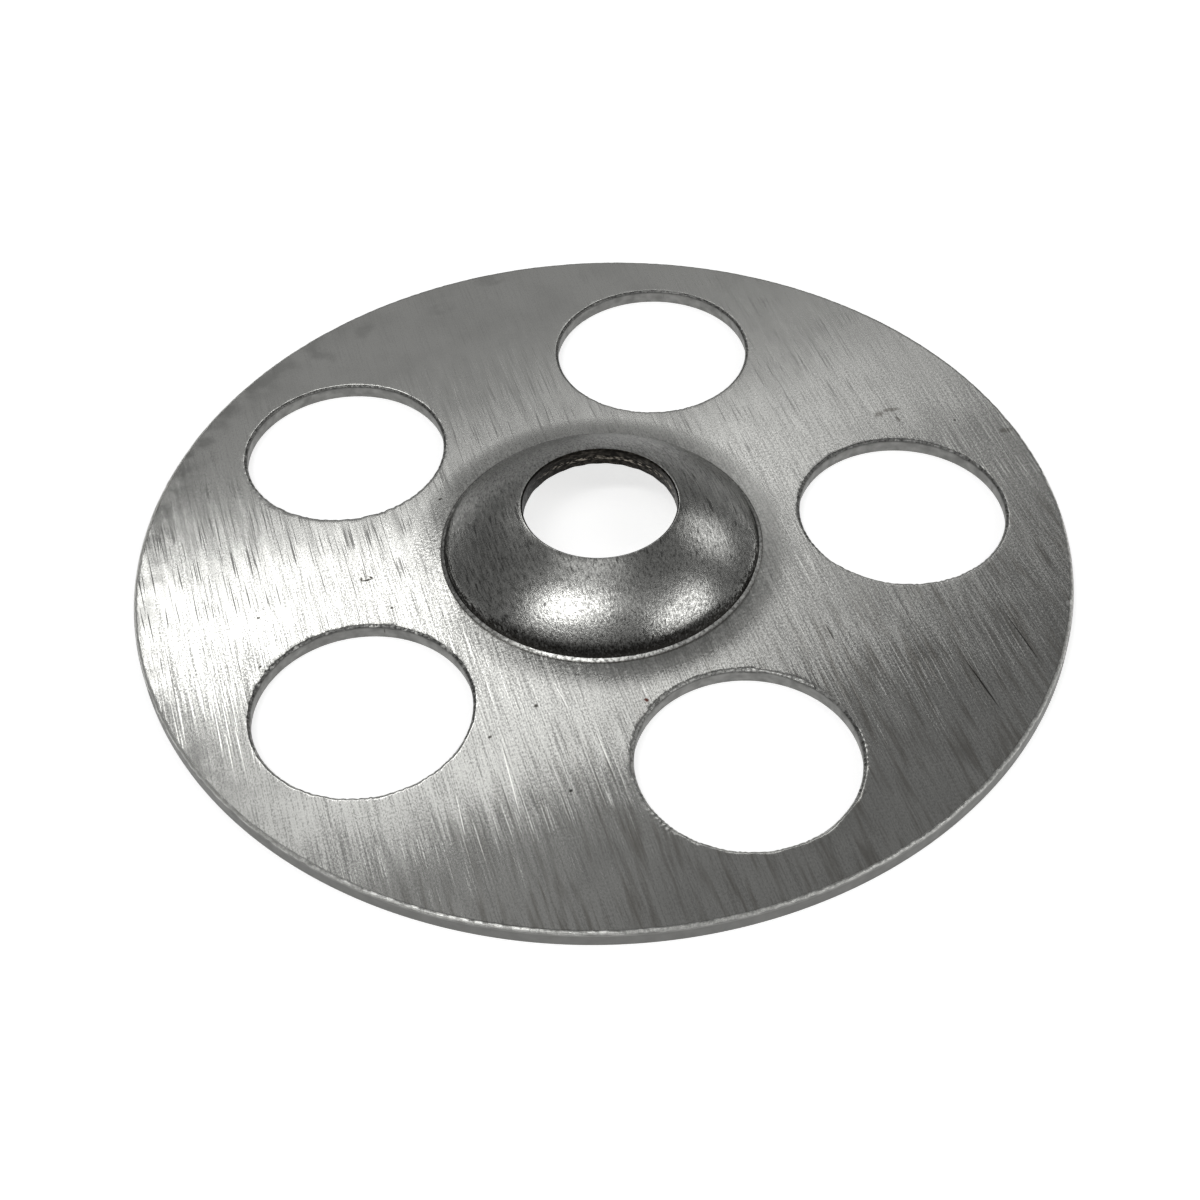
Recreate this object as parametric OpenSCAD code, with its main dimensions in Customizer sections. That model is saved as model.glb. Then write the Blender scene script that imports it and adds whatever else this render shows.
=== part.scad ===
// Insulation washer: a disc of sheet steel with a pressed dome in its middle, a screw hole pierced
// through the dome and a ring of round perforations. It is stamped from one sheet, in one piece.
// It lies on its underside, the plane z = 0, with the dome up and its axis on z. Sizes are in mm.

/* [Disc] */
// Outer diameter of the disc
disc_d = 36; // [34:0.5:60]
// Thickness of the sheet
sheet_t = 0.6; // [0.4:0.05:1]
// Radius that blanking rolls on the upper edge of the rim
rim_roll_r = 0.14; // [0.05:0.01:0.3]

/* [Dome] */
// Diameter of the dome at its foot
dome_d = 12.2; // [11:0.1:13]
// Outer radius of the crown, which sets how high the dome stands
crown_r = 8.6; // [8:0.1:12]
// Outer radius of the shoulder, between the crown and the foot
shoulder_r = 1.5; // [1.1:0.1:2.5]
// Slope of the dome's wall at its foot, in degrees
foot_slope = 62; // [50:1:72]
// Height at which the wall starts above the sheet
foot_rise = 0.12; // [0.05:0.01:0.15]
// Width of the bevelled ring that the die presses round the foot
ring_w = 0.14; // [0.1:0.01:0.4]
// Width of the smooth zone outside the ring, where the sheet swells up towards the dome
swell_w = 1.1; // [0.4:0.05:1.2]
// How far the sheet has swelled up at the ring
swell_h = 0.04; // [0.01:0.005:0.045]

/* [Screw hole] */
// Diameter of the screw hole
screw_hole_d = 5.9; // [5:0.1:6.6]
// Radius that piercing rolls on the hole's upper edge
screw_roll_r = 0.08; // [0.04:0.01:0.2]
// How far the pierced edge hangs below the dome's inner face
lip_h = 0.15; // [0.05:0.01:0.3]
// Width of that hanging edge at its root
lip_w = 0.22; // [0.15:0.01:0.4]

/* [Perforations] */
// Number of perforations
perf_count = 5; // [3:1:8]
// Diameter of each perforation
perf_d = 8; // [5:0.1:8.4]
// Diameter of the circle that their centres lie on
perf_circle_d = 23.8; // [23.2:0.1:26]
// Direction of the first perforation from +x, in degrees
perf_start = 6; // [0:1:71]
// Radius that punching rolls on each perforation's upper edge
perf_roll_r = 0.12; // [0.05:0.01:0.3]

/* [Hidden] */
$fn = 144;

// Arcs of the section are drawn with chords that leave the true arc by no more than this
chord_error = 0.001;
// Cutters reach this far past the faces that they cut
cut_past = 1;

disc_r = disc_d / 2;
screw_hole_r = screw_hole_d / 2;
perf_r = perf_d / 2;
perf_circle_r = perf_circle_d / 2;

// Foot of the dome's outer wall, and the direction that the wall faces there
foot = [dome_d / 2, sheet_t + foot_rise];
foot_angle = 90 - foot_slope;

// The shoulder ends at the foot. The crown meets it smoothly and is centred on the axis.
shoulder_c = foot - shoulder_r * dir(foot_angle);
crown_c = [0, shoulder_c.y - sqrt(pow(crown_r - shoulder_r, 2) - pow(shoulder_c.x, 2))];
join_angle = acos(shoulder_c.x / (crown_r - shoulder_r));

// On the underside the sheet bends round the foot with an outer radius of its own thickness.
// The bend touches the plane z = 0 and the inner wall, which is one thickness inside the outer one.
inner_foot = foot - sheet_t * dir(foot_angle);
bend_c_x = inner_foot.x + (sheet_t - (sheet_t - inner_foot.y) * sin(foot_angle)) / cos(foot_angle);
bend_c = [bend_c_x, sheet_t];

// Centre of the rolled edge at the top of the screw hole, and the direction of the crown there
roll_c_x = screw_hole_r + screw_roll_r;
roll_c = [roll_c_x, crown_c.y + sqrt(pow(crown_r - screw_roll_r, 2) - pow(roll_c_x, 2))];
roll_angle = atan2(roll_c.y - crown_c.y, roll_c.x);

// Root and tip of the pierced edge that hangs below the dome's inner face
lip_root_r = screw_hole_r + lip_w;
lip_root_angle = acos(lip_root_r / (crown_r - sheet_t));
lip_tip_w = lip_w / 4;
lip_tip_z = crown_c.y + sqrt(pow(crown_r - sheet_t, 2) - pow(screw_hole_r, 2)) - lip_h;

// Unit vector in a direction of the half section
function dir(angle) = [cos(angle), sin(angle)];

// Points along an arc, from the one after its start to its end
function arc(centre, radius, from, to) =
    let (
        turn = to - from,
        steps = ceil(abs(turn) / (2 * acos(1 - chord_error / radius)))
    )
    [for (i = [1 : steps]) centre + radius * dir(from + turn * i / steps)];

// Upper side of the sheet, from the rim to the foot: rolled edge, swelling and bevelled ring
function sheet_top() =
    let (
        roll = [disc_r - rim_roll_r, sheet_t - rim_roll_r],
        swell_start = [foot.x + ring_w + swell_w, sheet_t],
        swell_r = (pow(swell_w, 2) + pow(swell_h, 2)) / (2 * swell_h),
        swell_turn = asin(swell_w / swell_r)
    )
    concat(
        [[disc_r, 0], [disc_r, roll.y]],
        arc(roll, rim_roll_r, 0, 90),
        [swell_start],
        arc(swell_start + [0, swell_r], swell_r, 270, 270 - swell_turn),
        [foot]
    );

// Outer face of the dome, from the foot to the wall of the screw hole
function dome_top() = concat(
    arc(shoulder_c, shoulder_r, foot_angle, join_angle),
    arc(crown_c, crown_r, join_angle, roll_angle),
    arc(roll_c, screw_roll_r, roll_angle, 180)
);

// Inner face of the dome, from the hanging edge to the bend that ends on the underside
function dome_under() = concat(
    [
        [screw_hole_r, lip_tip_z],
        [screw_hole_r + lip_tip_w, lip_tip_z],
        crown_c + (crown_r - sheet_t) * dir(lip_root_angle)
    ],
    arc(crown_c, crown_r - sheet_t, lip_root_angle, join_angle),
    arc(shoulder_c, shoulder_r - sheet_t, join_angle, foot_angle),
    [bend_c - sheet_t * dir(foot_angle)],
    arc(bend_c, sheet_t, 180 + foot_angle, 270)
);

// Cutter for one perforation, with the rolled edge that the punch leaves at the top
module perforation_cutter() {
    roll = [perf_r + perf_roll_r, sheet_t - perf_roll_r];
    rotate_extrude()
        polygon(concat(
            [[0, -cut_past], [perf_r, -cut_past], [perf_r, roll.y]],
            arc(roll, perf_roll_r, 180, 90),
            [[roll.x, sheet_t + cut_past], [0, sheet_t + cut_past]]
        ));
}

// The washer: its section turned about the axis, less the ring of perforations
module washer() {
    color([0.55, 0.55, 0.54])
        difference() {
            rotate_extrude()
                polygon(concat(sheet_top(), dome_top(), dome_under()));
            for (i = [0 : perf_count - 1])
                rotate(perf_start + i * 360 / perf_count)
                    translate([perf_circle_r, 0])
                        perforation_cutter();
        }
}

washer();
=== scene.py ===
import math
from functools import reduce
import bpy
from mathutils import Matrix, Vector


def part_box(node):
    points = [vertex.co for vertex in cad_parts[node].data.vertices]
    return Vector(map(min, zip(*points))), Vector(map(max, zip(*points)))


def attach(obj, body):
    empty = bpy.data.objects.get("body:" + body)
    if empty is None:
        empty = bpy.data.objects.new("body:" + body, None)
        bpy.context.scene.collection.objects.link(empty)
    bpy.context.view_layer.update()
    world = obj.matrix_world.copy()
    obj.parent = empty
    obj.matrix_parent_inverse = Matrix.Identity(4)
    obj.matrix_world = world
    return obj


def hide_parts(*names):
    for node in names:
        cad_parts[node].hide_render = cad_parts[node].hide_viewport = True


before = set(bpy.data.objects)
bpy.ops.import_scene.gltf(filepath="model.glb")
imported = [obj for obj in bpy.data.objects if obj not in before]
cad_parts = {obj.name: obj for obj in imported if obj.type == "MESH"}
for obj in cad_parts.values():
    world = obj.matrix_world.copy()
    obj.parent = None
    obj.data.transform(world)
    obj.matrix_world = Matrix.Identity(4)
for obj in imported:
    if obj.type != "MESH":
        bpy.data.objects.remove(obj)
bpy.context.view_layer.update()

# Insulation washer: a perforated disc of brushed sheet steel with a pressed dome, lying on a pale
# floor. The washer is one mesh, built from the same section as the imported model, with the torn
# edges that the press leaves. Sizes are in mm until the mesh is made, and angles are in degrees
# unless a name or a comment says otherwise. The camera looks from -Y, with +X on its right.

from types import SimpleNamespace

import bmesh
import bpy
import numpy as np
from mathutils import Matrix, Vector

MM = 0.001

# Disc, with its radius taken from the frame
DISC_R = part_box("washer")[1].x / MM
SHEET_T = 0.6
RIM_ROLL = 0.14

# Dome
FOOT_R = 6.1
FOOT_RISE = 0.12
FOOT_SLOPE = 62
SHOULDER_R = 1.5
CROWN_R = 8.6
RING_W = 0.14
SWELL_W = 1.1
SWELL_H = 0.04

# Screw hole
SCREW_R = 2.95
SCREW_ROLL = 0.08
LIP_H = 0.15
LIP_W = 0.22

# Perforations
PERF_COUNT = 5
PERF_R = 4.0
PERF_CIRCLE_R = 11.9
PERF_START = 6
PERF_ROLL = 0.12
# How much wider a perforation breaks out at its lower edge
BREAKOUT = 0.05
# Height at which a sheared wall starts to break out, as a share of the sheet's thickness
BREAKOUT_START = 0.6

# Direction of the rolling scratches, anticlockwise from +X, in radians
GRAIN = math.radians(105)
ALONG_GRAIN = (math.cos(GRAIN), math.sin(GRAIN), 0.0)

# Segments of one sector, which holds one perforation
INNER_SEGMENTS = 96
OUTER_SEGMENTS = 144
SIDE_SEGMENTS = 48
PLATE_ROWS = 15
UNDERSIDE_ROWS = 5

# How much closer together the rows lie near the perforation, on the top and on the underside
PLATE_CROWDING = 1.7
UNDERSIDE_CROWDING = 1.4
# The share of the way out at which the top's last row starts. It is narrow, so that the smooth
# shading of the rolled rim doesn't spread over the plate.
LAST_ROW_START = 0.985

# Segments along the section, stretch by stretch
SWELL_STEPS = 6
RING_STEPS = 4
SHOULDER_STEPS = 16
CROWN_STEPS = 18
BORE_STEPS = 6
LIP_STEPS = 2
INNER_CROWN_STEPS = 8
INNER_SHOULDER_STEPS = 5
BEND_STEPS = 5
WALL_STEPS = 3
# Segments of a rolled edge, and how many of them from the top don't yet look like the wall
ROLL_STEPS = 6
EDGE_STEPS = 4
SCREW_EDGE_STEPS = 2

# Points closer than this are one point
WELD = 0.0002
# Faces that meet at more than this angle meet in a sharp edge
SHARP_ANGLE = 24

# Torn edges: where the tearing is centred, inwards of the rim, outwards of a perforation's edge
# and below the plate, and how far it reaches
RIM_TEAR_IN = 0.07
PERF_TEAR_OUT = 0.05
TEAR_DOWN = 0.03
TEAR_REACH = 0.12
# Depth of the tearing: its middle, what fine and coarse waves add or take, and the most it can be
RIM_BITE = SimpleNamespace(middle=0.02, fine=0.016, coarse=0.012, most=0.06)
PERF_BITE = SimpleNamespace(middle=0.016, fine=0.014, coarse=0.012, most=0.05)
# Where the tearing grows finer towards the back, and how fine it gets
CALM_Y = (3, 9)
CALM = 0.35
# The screw hole's lip is uneven out to this radius, less and less between these heights
LIP_END_R = SCREW_R + LIP_W + 0.02
LIP_FADE = (2.0, 2.3)
LIP_BITE = SimpleNamespace(middle=0.015, coarse=0.012, most=0.05)
# Sine waves that one uneven edge is made of
WAVES = 40

# Faces by finish
PLATE, DOME, EDGE, WALL, BORE = 0, 1, 2, 3, 4


def direction(angle):
    """Unit vector of the half section."""
    return np.array([math.cos(math.radians(angle)), math.sin(math.radians(angle))])


def arc(centre, radius, start, end, steps):
    """Points along an arc, from the one after its start to its end."""
    turns = np.radians(start + (end - start) * np.arange(1, steps + 1) / steps)
    return [(centre[0] + radius * math.cos(t), centre[1] + radius * math.sin(t)) for t in turns]


def line(start, end, steps):
    """Points along a line, from the one after its start to its end."""
    start, end = np.array(start), np.array(end)
    return [tuple(start + (end - start) * i / steps) for i in range(1, steps + 1)]


def dome_shape():
    """What the outer and the inner side of the dome share: its foot, its centres and their angles."""
    foot = np.array([FOOT_R, SHEET_T + FOOT_RISE])
    foot_angle = 90 - FOOT_SLOPE
    shoulder = foot - SHOULDER_R * direction(foot_angle)
    reach = CROWN_R - SHOULDER_R
    crown = np.array([0.0, shoulder[1] - math.sqrt(reach ** 2 - shoulder[0] ** 2)])
    join = math.degrees(math.acos(shoulder[0] / reach))
    return SimpleNamespace(foot=foot, foot_angle=foot_angle, shoulder=shoulder, crown=crown, join=join)


def swell_section():
    """Points from the plate's inner edge up to the ring round the foot."""
    start = (FOOT_R + RING_W + SWELL_W, SHEET_T)
    radius = (SWELL_W ** 2 + SWELL_H ** 2) / (2 * SWELL_H)
    turn = math.degrees(math.asin(SWELL_W / radius))
    return [start] + arc((start[0], SHEET_T + radius), radius, 270, 270 - turn, SWELL_STEPS)


def outer_stretches(dome):
    """(finish, points) from the plate's inner edge over the dome to the wall of the screw hole."""
    swell = swell_section()
    roll_r = SCREW_R + SCREW_ROLL
    roll = (roll_r, dome.crown[1] + math.sqrt((CROWN_R - SCREW_ROLL) ** 2 - roll_r ** 2))
    roll_angle = math.degrees(math.atan2(roll[1] - dome.crown[1], roll[0]))
    rolled = arc(roll, SCREW_ROLL, roll_angle, 180, ROLL_STEPS)
    return [
        (PLATE, swell),
        (EDGE, line(swell[-1], dome.foot, RING_STEPS)),
        (DOME, arc(dome.shoulder, SHOULDER_R, dome.foot_angle, dome.join, SHOULDER_STEPS)),
        (DOME, arc(dome.crown, CROWN_R, dome.join, roll_angle, CROWN_STEPS)),
        (DOME, rolled[:SCREW_EDGE_STEPS]),
        (BORE, rolled[SCREW_EDGE_STEPS:]),
    ]


def inner_stretches(dome, wall_top):
    """(finish, points) down the screw hole, round its torn lip and out under the dome to the plate."""
    inner_crown = CROWN_R - SHEET_T
    lip_angle = math.degrees(math.acos((SCREW_R + LIP_W) / inner_crown))
    lip_root = dome.crown + inner_crown * direction(lip_angle)
    lip_z = dome.crown[1] + math.sqrt(inner_crown ** 2 - SCREW_R ** 2) - LIP_H
    tip = (SCREW_R, lip_z)
    tip_end = (SCREW_R + LIP_W / 4, lip_z)

    inner_shoulder = SHOULDER_R - SHEET_T
    inner_foot = dome.foot - SHEET_T * direction(dome.foot_angle)
    cosine, sine = direction(dome.foot_angle)
    bend = (inner_foot[0] + (SHEET_T - (SHEET_T - inner_foot[1]) * sine) / cosine, SHEET_T)
    bend_start = bend - SHEET_T * direction(dome.foot_angle)
    return [
        (BORE, line(wall_top, tip, BORE_STEPS)),
        (BORE, line(tip, tip_end, 1)),
        (BORE, line(tip_end, lip_root, LIP_STEPS)),
        (DOME, arc(dome.crown, inner_crown, lip_angle, dome.join, INNER_CROWN_STEPS)),
        (DOME, arc(dome.shoulder, inner_shoulder, dome.join, dome.foot_angle, INNER_SHOULDER_STEPS)),
        (DOME, line(inner_foot, bend_start, 1)),
        (DOME, arc(bend, SHEET_T, 180 + dome.foot_angle, 270, BEND_STEPS)),
    ]


def dome_section():
    """(r, z, finish) from the plate's inner edge, over the dome, through the hole and back below."""
    dome = dome_shape()
    outer = outer_stretches(dome)
    wall_top = outer[-1][1][-1]
    return [p + (finish,) for finish, points in outer + inner_stretches(dome, wall_top) for p in points]


def rolled_wall(edge_r, roll, outward):
    """(r, z, finish) down a sheared edge: rolled top, then wall. outward is 1 on the rim, -1 in a hole."""
    rows = []
    for step in range(ROLL_STEPS + 1):
        turn = math.radians(90 * step / ROLL_STEPS)
        r = edge_r - outward * roll * (1 - math.sin(turn))
        z = SHEET_T - roll * (1 - math.cos(turn))
        rows.append((r, z, EDGE if step <= EDGE_STEPS else WALL))
    sheared = (edge_r, BREAKOUT_START * SHEET_T)
    foot_r = edge_r if outward > 0 else edge_r + BREAKOUT
    return rows + [p + (WALL,) for p in [sheared] + line(sheared, (foot_r, 0), WALL_STEPS)]


class Skin:
    """Vertices and faces of the washer while it is built from rings of points."""

    def __init__(self):
        self.points = []
        self.faces = []
        self.finishes = []

    def add_rings(self, rings, finishes, flip=False):
        """Adds the faces between neighbouring rings. finishes gives one finish for each band of them."""
        first = len(self.points)
        count = len(rings[0])
        self.points.extend(p for ring in rings for p in ring)
        for i, finish in enumerate(finishes):
            for j in range(count):
                a, b = first + i * count + j, first + i * count + (j + 1) % count
                face = (a, b, b + count, a + count)
                self.faces.append(face[::-1] if flip else face)
                self.finishes.append(finish)

    def revolve(self, rows, start, count, flip=False):
        """Adds the surface that (r, z, finish) rows sweep round the axis. start is in radians."""
        angles = start + 2 * math.pi * np.arange(count) / count
        rings = [[(r * math.cos(a), r * math.sin(a), z) for a in angles] for r, z, _ in rows]
        self.add_rings(rings, [row[2] for row in rows[1:]], flip)


def sector_outline(middle, inner_r, outer_r):
    """Points round one sector of the plate, anticlockwise seen from above. middle is in radians."""
    first, last = middle - math.pi / PERF_COUNT, middle + math.pi / PERF_COUNT
    corners = [(outer_r, first), (outer_r, last), (inner_r, last), (inner_r, first)]
    segments = [OUTER_SEGMENTS, SIDE_SEGMENTS, INNER_SEGMENTS, SIDE_SEGMENTS]
    points = []
    for (r, a), (next_r, next_a), count in zip(corners, corners[1:] + corners[:1], segments):
        for i in range(count):
            r_here = r + (next_r - r) * i / count
            a_here = a + (next_a - a) * i / count
            points.append(np.array([r_here * math.cos(a_here), r_here * math.sin(a_here)]))
    return points


def spread(hole, outline, shares, z):
    """Rings of points from a hole's edge to the outline, one for each share of the way."""
    return [[tuple(h + (o - h) * share) + (z,) for h, o in zip(hole, outline)] for share in shares]


def add_sector(skin, index, inner_top, inner_bottom):
    """One sector of the plate with its perforation: top, rolled edge and wall, and underside."""
    middle = math.radians(PERF_START + 360 * index / PERF_COUNT)
    centre = PERF_CIRCLE_R * np.array([math.cos(middle), math.sin(middle)])
    top_outline = sector_outline(middle, inner_top, DISC_R - RIM_ROLL)
    bottom_outline = sector_outline(middle, inner_bottom, DISC_R)

    # Round the hole, top, wall and underside all keep the directions of the top's outline
    aims = [(p - centre) / np.linalg.norm(p - centre) for p in top_outline]
    wall = rolled_wall(PERF_R, PERF_ROLL, -1)
    top_edge = [centre + (PERF_R + PERF_ROLL) * a for a in aims]
    bottom_edge = [centre + (PERF_R + BREAKOUT) * a for a in aims]

    shares = LAST_ROW_START * (np.arange(PLATE_ROWS) / (PLATE_ROWS - 1)) ** PLATE_CROWDING
    top = spread(top_edge, top_outline, np.append(shares, 1.0), SHEET_T)
    skin.add_rings(top, [PLATE] * PLATE_ROWS, flip=True)
    rings = [[tuple(centre + r * a) + (z,) for a in aims] for r, z, _ in wall]
    skin.add_rings(rings, [row[2] for row in wall[1:]])
    shares = (np.arange(UNDERSIDE_ROWS + 1) / UNDERSIDE_ROWS) ** UNDERSIDE_CROWDING
    bottom = spread(bottom_edge, bottom_outline, shares, 0.0)
    skin.add_rings(bottom, [PLATE] * UNDERSIDE_ROWS)


def build_skin():
    """The whole washer, each surface a set of rings whose border points meet its neighbours'."""
    skin = Skin()
    start = math.radians(PERF_START) - math.pi / PERF_COUNT
    dome = dome_section()
    skin.revolve(dome, start, INNER_SEGMENTS * PERF_COUNT)
    skin.revolve(rolled_wall(DISC_R, RIM_ROLL, 1), start, OUTER_SEGMENTS * PERF_COUNT, flip=True)
    for index in range(PERF_COUNT):
        add_sector(skin, index, dome[0][0], dome[-1][0])
    return skin


def make_mesh(name, skin):
    """A closed mesh in metres from the skin, with its shared borders welded."""
    mesh = bpy.data.meshes.new(name)
    mesh.from_pydata([(x * MM, y * MM, z * MM) for x, y, z in skin.points], [], skin.faces)
    mesh.polygons.foreach_set("material_index", skin.finishes)
    work = bmesh.new()
    work.from_mesh(mesh)
    bmesh.ops.remove_doubles(work, verts=work.verts, dist=WELD * MM)
    bmesh.ops.recalc_face_normals(work, faces=work.faces)
    work.to_mesh(mesh)
    work.free()
    return mesh


def waves(angle, seed, low, high):
    """Smooth chance values round a circle, from about -2 to 2, made of waves low to high a turn.
    angle is in radians."""
    chance = np.random.RandomState(seed)
    turns = chance.randint(low, high + 1, WAVES)
    phases = chance.uniform(0, 2 * math.pi, WAVES)
    return np.sin(angle[:, None] * turns + phases).sum(1) * math.sqrt(2 / WAVES)


def torn(inset, z, bite, fine, coarse):
    """How far points give way where an upper edge is torn. inset is how far in or out they lie, and
    fine and coarse are their chance values."""
    near = np.clip(1 - np.hypot(inset, z - SHEET_T + TEAR_DOWN) / TEAR_REACH, 0, 1)
    return near * np.clip(bite.middle + bite.fine * fine + bite.coarse * coarse, 0, bite.most)


def tear_rim(x, y, z, calm):
    """The rim's roll bites in unevenly, which leaves beads of torn metal along its upper edge."""
    r, turn = np.hypot(x, y), np.arctan2(y, x)
    fine = waves(turn, seed=11, low=120, high=340)
    coarse = waves(turn, seed=12, low=20, high=90)
    push = torn(DISC_R - RIM_TEAR_IN - r, z, RIM_BITE, fine, coarse) * calm
    x -= push * np.cos(turn)
    y -= push * np.sin(turn)


def tear_perforation(x, y, z, calm, index):
    """The punch's edge wanders by a few hundredths."""
    middle = math.radians(PERF_START + 360 * index / PERF_COUNT)
    dx = x - PERF_CIRCLE_R * math.cos(middle)
    dy = y - PERF_CIRCLE_R * math.sin(middle)
    r, turn = np.hypot(dx, dy), np.arctan2(dy, dx)
    fine = waves(turn, seed=30 + index, low=60, high=150)
    coarse = waves(turn, seed=50 + index, low=8, high=40)
    push = torn(r - PERF_R - PERF_TEAR_OUT, z, PERF_BITE, fine, coarse) * calm
    x += push * np.cos(turn)
    y += push * np.sin(turn)
    z -= 0.5 * push


def ruffle_lip(x, y, z):
    """The torn lip below the screw hole hangs unevenly."""
    tip = np.interp(z, LIP_FADE, (1.0, 0.0)) * (np.hypot(x, y) < LIP_END_R)
    coarse = waves(np.arctan2(y, x), seed=70, low=4, high=30)
    z += tip * np.clip(LIP_BITE.middle + LIP_BITE.coarse * coarse, 0, LIP_BITE.most)


def roughen(mesh):
    """Moves the points of the mesh as the press left them, with torn edges."""
    points = np.empty(len(mesh.vertices) * 3)
    mesh.vertices.foreach_get("co", points)
    x, y, z = points.reshape(-1, 3).T / MM

    calm = np.interp(y, CALM_Y, (1.0, CALM))
    tear_rim(x, y, z, calm)
    for index in range(PERF_COUNT):
        tear_perforation(x, y, z, calm, index)
    ruffle_lip(x, y, z)

    mesh.vertices.foreach_set("co", (np.stack([x, y, z], 1) * MM).ravel())
    mesh.update()


def add_grain_map(mesh):
    """UV map in which U runs across the rolling scratches and V along them, in metres."""
    layer = mesh.uv_layers.new(name="grain")
    corners = np.empty(len(mesh.loops), np.int64)
    mesh.loops.foreach_get("vertex_index", corners)
    points = np.empty(len(mesh.vertices) * 3)
    mesh.vertices.foreach_get("co", points)
    points = points.reshape(-1, 3)[corners]
    across = points[:, 0] * math.sin(GRAIN) - points[:, 1] * math.cos(GRAIN)
    along = points[:, 0] * math.cos(GRAIN) + points[:, 1] * math.sin(GRAIN)
    layer.data.foreach_set("uv", np.stack([across, along], 1).ravel().astype(np.float32))


class Nodes:
    """Short ways to add and link the shader nodes of a material or a world."""

    def __init__(self, owner):
        self.owner = owner
        owner.use_nodes = True
        self.tree = owner.node_tree
        self.tree.nodes.clear()

    def add(self, kind, links=(), **settings):
        """Adds a node. links maps its inputs to values or to other nodes' sockets."""
        node = self.tree.nodes.new("ShaderNode" + kind)
        for key, value in settings.items():
            setattr(node, key, value)
        for key, value in dict(links).items():
            if isinstance(value, bpy.types.NodeSocket):
                self.tree.links.new(value, node.inputs[key])
            else:
                node.inputs[key].default_value = value
        return node

    def math(self, operation, *values):
        return self.add("Math", dict(enumerate(values)), operation=operation).outputs[0]

    def total(self, *values):
        return reduce(lambda first, second: self.math("ADD", first, second), values)

    def product(self, *values):
        return reduce(lambda first, second: self.math("MULTIPLY", first, second), values)

    def vector(self, operation, *values):
        """Vector from a vector operation."""
        return self.add("VectorMath", dict(enumerate(values)), operation=operation).outputs["Vector"]

    def measure(self, operation, *values):
        """Number from a vector operation."""
        return self.add("VectorMath", dict(enumerate(values)), operation=operation).outputs["Value"]

    def scaled(self, vector, factor):
        return self.add("VectorMath", {0: vector, "Scale": factor}, operation="SCALE").outputs["Vector"]

    def remap(self, value, low, high, to_low=0.0, to_high=1.0, smooth=False):
        """value carried over from low and high to to_low and to_high, and held at their ends."""
        kind = "SMOOTHSTEP" if smooth else "LINEAR"
        inputs = {0: value, 1: low, 2: high, 3: to_low, 4: to_high}
        return self.add("MapRange", inputs, interpolation_type=kind).outputs[0]

    def noise(self, vector, scale=1.0, detail=2.0, roughness=0.5):
        links = {"Vector": vector, "Scale": scale, "Detail": detail, "Roughness": roughness}
        return self.add("TexNoise", links, noise_dimensions="3D").outputs["Fac"]

    def mix(self, share, first, second):
        return self.add("Mix", {0: share, 6: first, 7: second}, data_type="RGBA").outputs[2]

    def layer(self, colour, *layers):
        """colour with each (share, shade) laid over it in turn."""
        for share, shade in layers:
            colour = self.mix(share, colour, shade)
        return colour

    def finish(self, shader, output="OutputMaterial"):
        """Links the shader to the output and gives back the material or the world."""
        self.add(output, {"Surface": shader})
        return self.owner


# A mark fades from the first to the second share of the way out from its middle
MARK_FADE = (0.5, 1.1)


class Surface(Nodes):
    """Nodes of a new material, with the place on the object and the distance from its axis in mm."""

    def __init__(self, name):
        super().__init__(bpy.data.materials.new(name))
        self.place = self.scaled(self.add("TexCoord").outputs["Object"], 1 / MM)
        self.flat = self.vector("MULTIPLY", self.place, (1.0, 1.0, 0.0))
        self.radius = self.measure("LENGTH", self.flat)
        self.x, self.y, self.z = self.add("SeparateXYZ", {0: self.place}).outputs

    def along_grain(self, across, along):
        """Place turned to the grain, in lines across wide and along long, in mm."""
        turned = self.add("Mapping", {"Vector": self.place, "Rotation": (0, 0, math.pi / 2 - GRAIN)})
        return self.vector("MULTIPLY", turned.outputs[0], (1 / across, 1 / along, 1 / across))

    def marks(self, marks):
        """1 inside each soft oval mark and 0 outside them."""
        inside = 0.0
        for x, y, half_length, half_width, turn in marks:
            oval = self.add("Mapping", {
                "Vector": self.flat, "Location": (x, y, 0.0), "Rotation": (0.0, 0.0, math.radians(turn)),
                "Scale": (half_length, half_width, 1.0)}, vector_type="TEXTURE").outputs[0]
            mark = self.remap(self.measure("LENGTH", oval), *MARK_FADE, 1.0, 0.0, smooth=True)
            inside = self.math("MAXIMUM", inside, mark)
        return inside

    def bump(self, height, depth, strength):
        """Normal of a relief that is depth mm deep."""
        inputs = {"Strength": strength, "Distance": depth * MM, "Height": height}
        return self.add("Bump", inputs).outputs[0]

    def metal(self, colour, roughness, normal, **more):
        """Finishes the material as bare metal."""
        inputs = {"Base Color": colour, "Metallic": 1.0, "Roughness": roughness, "Normal": normal}
        return self.finish(self.add("BsdfPrincipled", inputs | more).outputs[0])


def steel(value):
    """The grey of bare steel at that linear value."""
    return (value, value, 0.96 * value, 1.0)


def grime_and_shade(value):
    """The brownish grey of grime and stains, and of painted shade, at that linear value."""
    return (1.10 * value, value, 0.85 * value, 1.0)


RUST = (0.10, 0.03, 0.02, 1.0)

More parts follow.
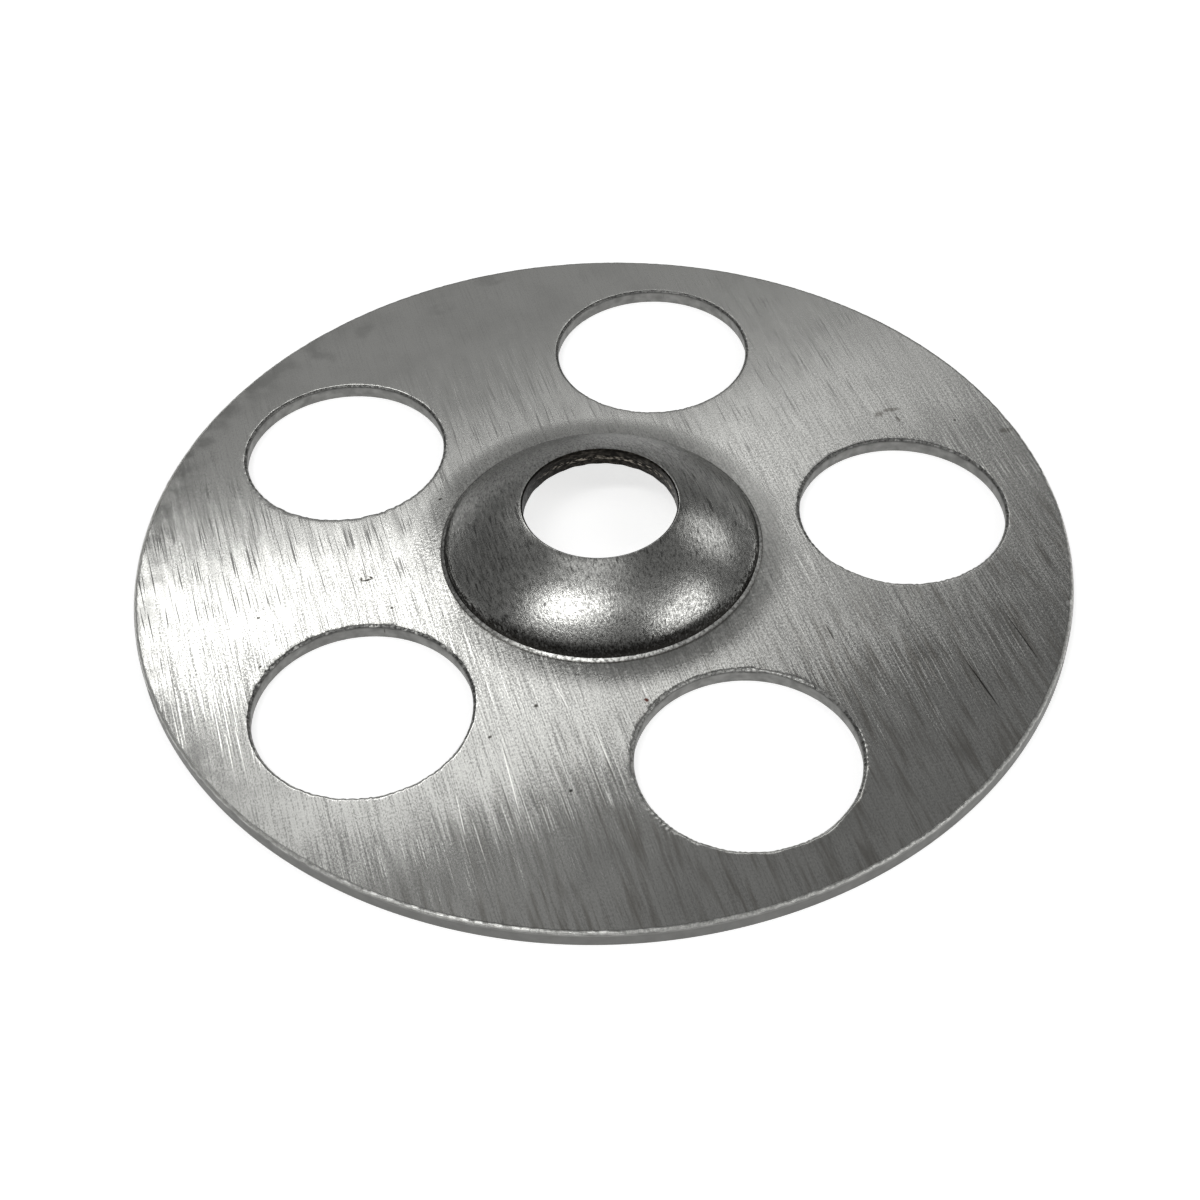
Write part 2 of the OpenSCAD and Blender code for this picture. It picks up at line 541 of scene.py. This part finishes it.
# Marks on the plate: place, half length, half width, direction
DARK_MARKS = (
    (-9.00, -1.52, 0.26, 0.055, 15), (-9.22, -1.48, 0.16, 0.05, 100), (-8.85, -1.40, 0.14, 0.05, 140),
    (-6.34, 2.82, 0.10, 0.07, 30), (-13.0, -3.29, 0.09, 0.06, 0), (-7.98, -3.04, 0.07, 0.07, 0),
    (-12.7, -5.77, 0.08, 0.06, 60), (-2.57, -8.16, 0.09, 0.09, 0), (-4.21, -9.52, 0.09, 0.06, 35),
    (-1.38, -12.07, 0.08, 0.07, 40), (14.67, 6.34, 0.07, 0.06, 0), (13.50, -7.95, 1.45, 0.036, 110),
    (15.30, -5.70, 1.55, 0.03, 109), (8.31, -5.13, 0.50, 0.03, 108), (5.79, -7.40, 0.16, 0.05, 95),
)
RUST_MARKS = ((1.40, -8.08, 0.12, 0.08, 130),)
SMUDGES = (
    (11.62, 6.88, 0.30, 0.17, 30), (12.15, 7.14, 0.42, 0.13, 10), (12.35, 6.55, 0.22, 0.08, 110),
    (16.64, 5.61, 0.35, 0.16, 10), (8.3, -12.6, 0.5, 0.3, 0),
)
STAINS = (
    (-4.6, 16.9, 0.9, 0.5, 10), (-6.6, 15.0, 0.8, 0.45, 20), (-9.9, 13.6, 0.55, 0.9, 10),
    (-11.8, 12.0, 1.0, 0.8, 120),
)
BRIGHT_MARKS = ((17.30, -4.13, 0.18, 0.10, 80), (1.35, -7.63, 0.45, 0.035, 105))
SCRATCHES = (
    (-3.46, -11.5, 1.9, 0.026, 102), (-5.18, -12.9, 1.1, 0.024, 101), (-1.63, -7.8, 0.85, 0.024, 112),
    (-0.20, -10.3, 0.95, 0.024, 106),
)
# Directions from the axis of painted glints on the beads of the rim's upper edge, their size and how far in
# they lie
RIM_GLINTS = (-116.5, -114.6, -111.6, -108.8, -107.4, -106.0, -104.5, -102.4, -100.5, -99.5, -91.4, -13.2)
RIM_GLINT_R = 0.15
RIM_GLINT_IN = 0.13

# Distances from the axis over which the ring's finish ends and the rim's starts
RING_END = (6.4, 6.6)
RIM_START = (17.0, 17.5)
# Outer edge of the ring, and how far the dark line of grime and painted shade reaches out of the crease
# there
RING_R = FOOT_R + RING_W
CREASE_W = 0.09


class Plate(Surface):
    """Mill-finished sheet: straight rolling scratches, dotted grime in their grooves, a few marks."""

    def __init__(self):
        super().__init__("steel_plate")
        self.lines = self.noise(self.along_grain(0.055, 2.6), detail=2)
        self.broad = self.noise(self.along_grain(0.30, 7.0), detail=3)
        self.grit = self.noise(self.along_grain(0.06, 0.10), detail=1)
        self.smears = self.noise(self.along_grain(0.22, 2.6), detail=2)
        self.strong = self.noise(self.along_grain(0.055, 2.2), detail=0)
        self.cloud = self.noise(self.place, scale=0.45, detail=4)
        self.patches = self.noise(self.place, scale=1.2, detail=3)
        self.grain = self.total(self.product(self.lines, 0.4), self.product(self.grit, 0.6))
        self.dark = self.marks(DARK_MARKS)
        self.scratches = self.marks(SCRATCHES)

        # The swelling round the dome, and how plainly it shows, which is less at the left
        self.swelling = self.remap(self.radius, 6.7, 7.8, 1.0, 0.0, smooth=True)
        self.pressed = self.product(self.swelling, self.remap(self.x, -5.0, 1.0, 0.3, 1.0))
        # The plate's right side, and the place towards the back, counted up to 6 mm less there
        self.right = self.remap(self.x, 4.0, 12.0)
        self.away = self.math("SUBTRACT", self.y, self.remap(self.x, 0.0, 12.0, 0.0, 6.0))

    def dirt(self):
        """Grime in dots along the grooves, thicker in clouds and thinner front right and at the back."""
        dots = self.total(
            self.product(self.lines, 0.46), self.product(self.grit, 0.36), self.product(self.broad, 0.18))
        dots = self.math("SUBTRACT", dots, self.remap(self.cloud, 0.40, 0.75, 0.0, 0.04))
        back_left = self.measure("DOT_PRODUCT", self.place, (-0.80, 0.60, 0.0))
        return self.product(
            self.remap(dots, 0.49, 0.36),
            self.remap(back_left, -5.0, 6.0, 0.4, 1.0),
            self.remap(self.away, 4.0, 10.0, 1.0, 0.25))

    def sharpness(self):
        """How plainly the grain shows: most in the middle, least at the back."""
        front = self.remap(self.y, -13.0, -5.0, 0.35, 1.0)
        back = self.remap(self.away, 2.0, 9.0, 1.0, 0.1)
        outwards = self.remap(self.radius, 7.0, 12.0, 1.0, 0.5)
        return self.product(front, back, self.math("MULTIPLY_ADD", self.right, 0.3, outwards))

    def rolled_sheet(self, dirt):
        """Colour of the grain, with the dirt in it and darker clouds."""
        grainy = self.mix(self.remap(self.grain, 0.38, 0.62), steel(0.38), steel(0.82))
        return self.layer(
            self.mix(self.sharpness(), steel(0.60), grainy),
            (dirt, steel(0.34)),
            (self.remap(self.cloud, 0.45, 0.80, 0.0, 0.4), steel(0.40)))

    def with_zones(self, colour):
        """Darkens the swelling, the front right corner, the crease at the ring with grime and painted shade,
        and the left border.
        """
        pressed = self.product(self.pressed, self.remap(self.y, 2.0, 7.0, 0.55, 0.20))
        corner = self.measure("DOT_PRODUCT", self.place, (0.62, -0.78, 0.0))
        corner = self.remap(corner, 5.0, 12.0, smooth=True)
        corner = self.product(corner, self.remap(self.smears, 0.50, 0.30, 0.0, 0.5))
        crease = self.remap(self.radius, RING_R, RING_R + CREASE_W, 0.85, 0.0)
        crease = self.product(crease, self.remap(self.y, -4.5, -2.0, 1.0, 0.3))
        border = self.product(
            self.remap(self.radius, 16.4, 17.6, smooth=True),
            self.remap(self.x, -16.5, -9.0, 1.0, 0.0),
            self.remap(self.patches, 0.40, 0.62, 0.1, 0.8))
        return self.layer(
            colour,
            (pressed, steel(0.30)),
            (corner, grime_and_shade(0.20)),
            (crease, grime_and_shade(0.05)),
            (border, steel(0.30)))

    def with_marks(self, colour):
        """Adds the listed marks."""
        smudges = self.product(self.marks(SMUDGES), self.remap(self.grain, 0.35, 0.65, 0.8, 0.35))
        stains = self.product(self.marks(STAINS), self.remap(self.patches, 0.40, 0.60, 0.0, 0.35))
        return self.layer(
            colour,
            (smudges, grime_and_shade(0.12)),
            (stains, steel(0.30)),
            (self.product(self.dark, 0.95), grime_and_shade(0.04)),
            (self.marks(RUST_MARKS), RUST),
            (self.marks(BRIGHT_MARKS), steel(0.85)),
            (self.scratches, steel(0.85)))

    def swing(self, noise, amount):
        """The noise about its middle, times amount."""
        return self.product(self.math("SUBTRACT", noise, 0.5), amount)

    def lean(self):
        """How far the scratches lean the surface along the grain, a few strongly and to one side."""
        lean = self.total(
            self.swing(self.lines, 0.045),
            self.swing(self.grit, 0.03),
            self.swing(self.broad, 0.02),
            self.swing(self.smears, self.remap(self.right, 0.0, 1.0, 0.02, 0.012)),
            self.remap(self.strong, 0.64, 0.74, 0.0, 0.03))
        lean = self.product(
            lean,
            self.remap(self.pressed, 0.0, 1.0, 1.0, 0.6),
            self.remap(self.y, -13.0, -6.0, 0.5, 1.0))
        return self.total(lean, self.product(self.scratches, 0.010))

    def normal(self):
        """Grit, sunk dark marks and a crinkled swelling in front, leant by the scratches."""
        creases = self.noise(self.place, scale=9.0, detail=2)
        crinkle = self.product(self.swelling, creases, self.remap(self.y, 0.0, 4.0, 1.0, 0.0))
        height = self.total(self.grit, self.product(crinkle, 8.0))
        height = self.math("SUBTRACT", height, self.product(self.dark, 0.8))
        relief = self.bump(height, depth=0.002, strength=0.25)
        leant = self.vector("ADD", relief, self.scaled(ALONG_GRAIN, self.lean()))
        return self.vector("NORMALIZE", leant)

    def material(self):
        dirt = self.dirt()
        colour = self.with_marks(self.with_zones(self.rolled_sheet(dirt)))
        rough = self.total(self.remap(dirt, 0.0, 1.0, 0.19, 0.27), self.product(self.pressed, 0.10))
        tangent = self.add("Tangent", direction_type="UV_MAP", uv_map="grain").outputs[0]
        return self.metal(colour, rough, self.normal(), Anisotropic=1.0, Tangent=tangent)


def dome_foot(n, relief, back):
    """Ragged dark band round the dome's foot, widest in front: partly grime, partly painted shade."""
    edge = FOOT_R - 0.05
    width = n.remap(n.y, -5.2, -3.0, 0.55, 0.16, smooth=True)
    ragged = n.total(n.radius, n.product(n.math("SUBTRACT", relief, 0.5), -0.8))
    foot = n.remap(ragged, n.math("SUBTRACT", edge, width), edge, 0.0, 0.95, smooth=True)
    return n.product(foot, n.remap(back, 0.4, 1.0, 1.0, 0.15))


def dome_material():
    """Pressed dome: stretched scratches over a gritty, pebbled surface, painted shade towards the back,
    grime and painted shade round the foot.
    """
    n = Surface("steel_dome")
    lines = n.noise(n.along_grain(0.08, 0.9), detail=3)
    grit = n.noise(n.place, scale=18.0, detail=3, roughness=0.6)
    pebbles = n.noise(n.place, scale=2.4, detail=2)
    grooves = n.noise(n.along_grain(0.10, 2.2), detail=2)
    relief = n.total(n.product(lines, 0.5), n.product(grit, 0.5))
    back = n.remap(n.y, -1.0, 3.5, smooth=True)
    colour = n.layer(
        n.mix(n.remap(relief, 0.36, 0.64), steel(0.15), steel(0.66)),
        (n.remap(grooves, 0.30, 0.38, 0.7, 0.0), steel(0.06)),
        # Painted shade: the dome is darker towards the back
        (n.product(back, n.remap(n.radius, 4.9, 5.7, 0.4, 0.1)), steel(0.14)),
        (dome_foot(n, relief, back), grime_and_shade(0.018)))
    normal = n.bump(n.total(relief, n.product(pebbles, 0.3)), depth=0.008, strength=0.9)
    rough = n.total(n.remap(relief, 0.35, 0.65, 0.30, 0.20), n.product(back, 0.2))
    return n.metal(colour, rough, normal)


def ring_colour(n, grainy):
    """The ring round the dome, with a painted highlight in front, grey behind and at the right."""
    bright = n.product(n.remap(n.y, -5.8, -2.0, 1.0, 0.0), n.remap(n.x, 1.5, 4.0, 1.0, 0.0))
    return n.mix(grainy, steel(0.20), n.mix(bright, steel(0.50), steel(0.95)))


def rim_colour(n, grainy):
    """The rim's rolled edge, brighter below its top, and with painted light at the left."""
    upper = n.mix(grainy, steel(0.26), steel(0.48))
    lower = n.mix(grainy, steel(0.55), steel(0.85))
    return n.layer(
        upper, (n.remap(n.z, 0.592, 0.560), lower), (n.remap(n.x, -17.0, -9.0, 0.8, 0.0), steel(0.80)))


def bright_edge_strip(n, grit):
    """Where the edge of the middle perforation in front is brighter."""
    return n.product(
        n.remap(n.y, -6.8, -6.2, 1.0, 0.0), n.remap(n.x, 0.0, 0.5), n.remap(n.x, 7.0, 9.0, 1.0, 0.0),
        n.remap(grit, 0.42, 0.58, 0.2, 0.8))


def small_bead_glints(n):
    """Painted glints on beads of torn metal, by chance, most of them at the front left."""
    beads = n.noise(n.place, scale=3.2, detail=3)
    return n.product(
        n.remap(beads, 0.56, 0.64), n.remap(n.x, -8.0, 4.0, 1.0, 0.2), n.remap(n.y, 2.0, 8.0, 1.0, 0.1))


def rim_glints(n):
    """The painted glints on the rim's beads, at the listed directions."""
    spots = [direction(angle) * (DISC_R - RIM_GLINT_IN) for angle in RIM_GLINTS]
    return n.marks([(x, y, RIM_GLINT_R, RIM_GLINT_R, 0) for x, y in spots])


def far_facing_painted_light(n, rim):
    """Painted light where a perforation's edge faces the back."""
    facing = n.add("SeparateXYZ", {0: n.add("NewGeometry").outputs["Normal"]}).outputs[1]
    return n.product(
        n.remap(facing, 0.05, 0.35), n.remap(n.radius, *RING_END), n.remap(rim, 0.0, 1.0, 0.9, 0.0))


def edge_material():
    """Rolled edges and the ring round the dome: fine torn grit with painted glints on the beads, painted
    highlight and light, and grime with painted shade in the crease.
    """
    n = Surface("steel_edge")
    grit = n.noise(n.place, scale=9.0, detail=3, roughness=0.6)
    grainy = n.remap(grit, 0.38, 0.60)
    rim = n.remap(n.radius, *RIM_START)
    from_crease = n.math("ABSOLUTE", n.math("SUBTRACT", n.radius, RING_R))
    colour = n.layer(
        n.mix(grainy, steel(0.09), steel(0.26)),
        (n.remap(n.radius, *RING_END, 1.0, 0.0), ring_colour(n, grainy)),
        (bright_edge_strip(n, grit), steel(0.60)),
        (rim, rim_colour(n, grainy)),
        (small_bead_glints(n), steel(0.80)),
        (rim_glints(n), steel(0.85)),
        # Grime and painted shade in the crease at the ring's outer edge
        (n.remap(from_crease, 0.0, 0.06, 0.8, 0.0), grime_and_shade(0.05)),
        (far_facing_painted_light(n, rim), steel(0.50)))
    rough = n.remap(grit, 0.3, 0.7, 0.50, 0.38)
    return n.metal(colour, rough, n.bump(grit, depth=0.008, strength=0.7))


def wall_material():
    """Sheared edge: smooth and dull, with a fine upright crack here and there."""
    n = Surface("steel_wall")
    patches = n.noise(n.place, scale=2.5, detail=4)
    cracks = n.noise(n.vector("MULTIPLY", n.place, (6.0, 6.0, 0.4)), detail=2)
    rim_wall = n.mix(n.remap(n.z, 0.46, 0.54), steel(0.17), steel(0.40))
    colour = n.layer(
        n.mix(n.remap(patches, 0.35, 0.65), steel(0.18), steel(0.25)),
        (n.remap(cracks, 0.27, 0.31, 0.8, 0.0), grime_and_shade(0.04)),
        (n.remap(n.radius, *RIM_START, 0.0, 0.9), rim_wall))
    rough = n.remap(patches, 0.3, 0.7, 0.55, 0.45)
    return n.metal(colour, rough, n.bump(patches, depth=0.004, strength=0.3))


def bore_material():
    """Pierced wall of the screw hole: torn, painted nearly black as shade in the hole, with a broken line of
    brownish flecks.
    """
    n = Surface("steel_bore")
    fleck_z = 2.40
    tears = n.noise(n.vector("MULTIPLY", n.place, (5.0, 5.0, 14.0)), detail=4)
    band = n.math("ABSOLUTE", n.math("SUBTRACT", n.z, fleck_z))
    band = n.remap(band, 0.03, 0.12, 1.0, 0.0, smooth=True)
    # Painted light: tears and flecks show on the lit side towards +X
    painted_lit_side = n.remap(n.x, -2.6, -0.8, 0.1, 1.0)
    colour = n.layer(
        grime_and_shade(0.010),
        (n.product(n.remap(tears, 0.45, 0.75), painted_lit_side), grime_and_shade(0.06)),
        (n.product(band, n.remap(tears, 0.50, 0.66), painted_lit_side), grime_and_shade(0.30)))
    rough = n.remap(tears, 0.3, 0.7, 0.6, 0.4)
    return n.metal(colour, rough, n.bump(tears, depth=0.01, strength=0.8))


def make_washer():
    mesh = make_mesh("washer_steel", build_skin())
    roughen(mesh)
    add_grain_map(mesh)
    for polygon in mesh.polygons:
        polygon.use_smooth = True
    mesh.set_sharp_from_angle(angle=math.radians(SHARP_ANGLE))
    # Materials in the order of the finishes
    for material in (Plate().material(), dome_material(), edge_material(), wall_material(), bore_material()):
        mesh.materials.append(material)
    washer = bpy.data.objects.new("washer_steel", mesh)
    bpy.context.scene.collection.objects.link(washer)
    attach(washer, "root")
    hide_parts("washer")


# Camera, as fitted to the photo, aimed a little off the origin by pitch and yaw
VIEW_ELEVATION = 45.14
VIEW_DISTANCE = 76.05
VIEW_PITCH = 1.354
VIEW_YAW = 0.106
VIEW_ROLL = -2.218
SENSOR = 36.0
LENS = 58.516
CLIP_START = 1


def make_camera():
    data = bpy.data.cameras.new("camera")
    data.sensor_width = SENSOR
    data.lens = LENS
    data.clip_start = CLIP_START * MM
    camera = bpy.data.objects.new("camera", data)
    rise = math.radians(VIEW_ELEVATION)
    spot = Vector((0, -VIEW_DISTANCE * math.cos(rise), VIEW_DISTANCE * math.sin(rise))) * MM
    turn = Matrix.Rotation(math.pi / 2 - rise, 4, "X") @ Matrix.Rotation(math.radians(VIEW_YAW), 4, "Y")
    tilt = Matrix.Rotation(math.radians(-VIEW_PITCH), 4, "X")
    roll = Matrix.Rotation(math.radians(VIEW_ROLL), 4, "Z")
    camera.matrix_world = Matrix.Translation(spot) @ turn @ tilt @ roll
    bpy.context.scene.collection.objects.link(camera)
    bpy.context.scene.camera = camera


# Lamps are this far off, in metres
LAMP_DISTANCE = 0.30
# Upright directions of the lamps in front and of the one at the right
FRONT_UPRIGHT = (0.10, 0.90, 0.40)
RIGHT_UPRIGHT = (-0.43, 0.51, 0.75)


def add_softbox(name, aim, width, height, radiance, upright=ALONG_GRAIN):
    """Area lamp seen from the washer in direction aim. width and height are angles, height in the
    plane of upright. radiance is how bright its face looks."""
    back = Vector(aim).normalized()
    side = Vector(upright).cross(back).normalized()
    axes = Matrix((side, back.cross(side), back)).transposed().to_4x4()
    data = bpy.data.lights.new(name, "AREA")
    data.shape = "RECTANGLE"
    data.size = 2 * LAMP_DISTANCE * math.tan(math.radians(width / 2))
    data.size_y = 2 * LAMP_DISTANCE * math.tan(math.radians(height / 2))
    data.energy = radiance * math.pi * data.size * data.size_y
    lamp = bpy.data.objects.new(name, data)
    lamp.matrix_world = Matrix.Translation(back * LAMP_DISTANCE) @ axes
    bpy.context.scene.collection.objects.link(lamp)


def grain_aim(polar, turn):
    """Direction at angle polar to the grain, turned about it from straight up towards -X."""
    polar, turn = math.radians(polar), math.radians(turn)
    along = Vector(ALONG_GRAIN)
    side = Vector((-math.sin(GRAIN), math.cos(GRAIN), 0.0))
    rise = Vector((0.0, 0.0, 1.0)) * math.cos(turn) + side * math.sin(turn)
    return along * math.cos(polar) + rise * math.sin(polar)


def make_lights():
    add_softbox("window", grain_aim(45.6, 8.5), 22, 4.8, 3.1)
    add_softbox("window_low", grain_aim(51.4, -6), 18, 5.6, 1.45)
    add_softbox("window_right", grain_aim(46.4, -17.5), 18, 4.8, 0.70)
    add_softbox("low_fill", grain_aim(57.0, 14), 32, 8, 0.27)
    add_softbox("back", grain_aim(36.0, -5), 60, 14, 0.17)
    add_softbox("haze", grain_aim(42.2, -11), 11, 3.5, 0.36)
    add_softbox("key", (-0.30, -0.36, 0.88), 40, 10, 3.5, FRONT_UPRIGHT)
    add_softbox("key_core", (-0.32, -0.35, 0.88), 14, 6, 6.5, FRONT_UPRIGHT)
    add_softbox("front_fill", (0.20, -0.36, 0.90), 30, 9, 0.5, FRONT_UPRIGHT)
    add_softbox("right", (0.67, -0.28, 0.69), 32, 9, 3.3, RIGHT_UPRIGHT)
    add_softbox("far_right", (0.71, 0.46, 0.50), 18, 16, 1.5)
    add_softbox("overhead", (-0.10, 0.0, 1.0), 30, 24, 0.65)


WHITE = (1.0, 1.0, 1.0, 1.0)
PAPER = (0.80, 0.80, 0.80, 1.0)
# Strength of the room's light, and of the part low in front
ROOM_LIGHT = 0.17
LOW_LIGHT = 0.65
# Half the floor's width and how far it lies below the washer
FLOOR_HALF = 1000
FLOOR_DROP = 0.01


def make_world():
    """Even grey light, brighter low in front. Only the camera sees white beyond the floor."""
    n = Nodes(bpy.data.worlds.new("studio"))
    _, depth, rise = n.add("SeparateXYZ", {0: n.add("TexCoord").outputs["Generated"]}).outputs
    low = n.product(n.remap(rise, 0.12, 0.40, 1.0, 0.0, smooth=True), n.remap(depth, -0.3, 0.3, 1.0, 0.0))
    strength = n.remap(low, 0.0, 1.0, ROOM_LIGHT, LOW_LIGHT)
    light = n.add("Background", {"Color": WHITE, "Strength": strength})
    white = n.add("Background", {"Color": WHITE, "Strength": 1.0})
    camera = n.add("LightPath").outputs["Is Camera Ray"]
    mix = n.add("MixShader", {0: camera, 1: light.outputs[0], 2: white.outputs[0]})
    bpy.context.scene.world = n.finish(mix.outputs[0], "OutputWorld")


def floor_material():
    """Pale paper that keeps the washer's shadow, lifted to white where it is seen, most of all far off."""
    n = Surface("pale_floor")
    paper = n.add("BsdfDiffuse", {"Color": PAPER})
    path = n.add("LightPath")
    seen = n.math("MAXIMUM", path.outputs["Is Camera Ray"], path.outputs["Is Glossy Ray"])
    glow = n.product(seen, n.remap(n.radius, 60.0, 200.0, 0.66, 1.0))
    lift = n.add("Emission", {"Color": WHITE, "Strength": glow})
    both = n.add("AddShader", {0: paper.outputs[0], 1: lift.outputs[0]})
    return n.finish(both.outputs[0])


def make_floor():
    half, drop = FLOOR_HALF * MM, -FLOOR_DROP * MM
    corners = [(-half, -half, drop), (half, -half, drop), (half, half, drop), (-half, half, drop)]
    mesh = bpy.data.meshes.new("floor")
    mesh.from_pydata(corners, [], [(0, 1, 2, 3)])
    mesh.materials.append(floor_material())
    floor = bpy.data.objects.new("floor", mesh)
    bpy.context.scene.collection.objects.link(floor)


bpy.context.scene.view_settings.view_transform = "Standard"
make_washer()
make_camera()
make_lights()
make_world()
make_floor()
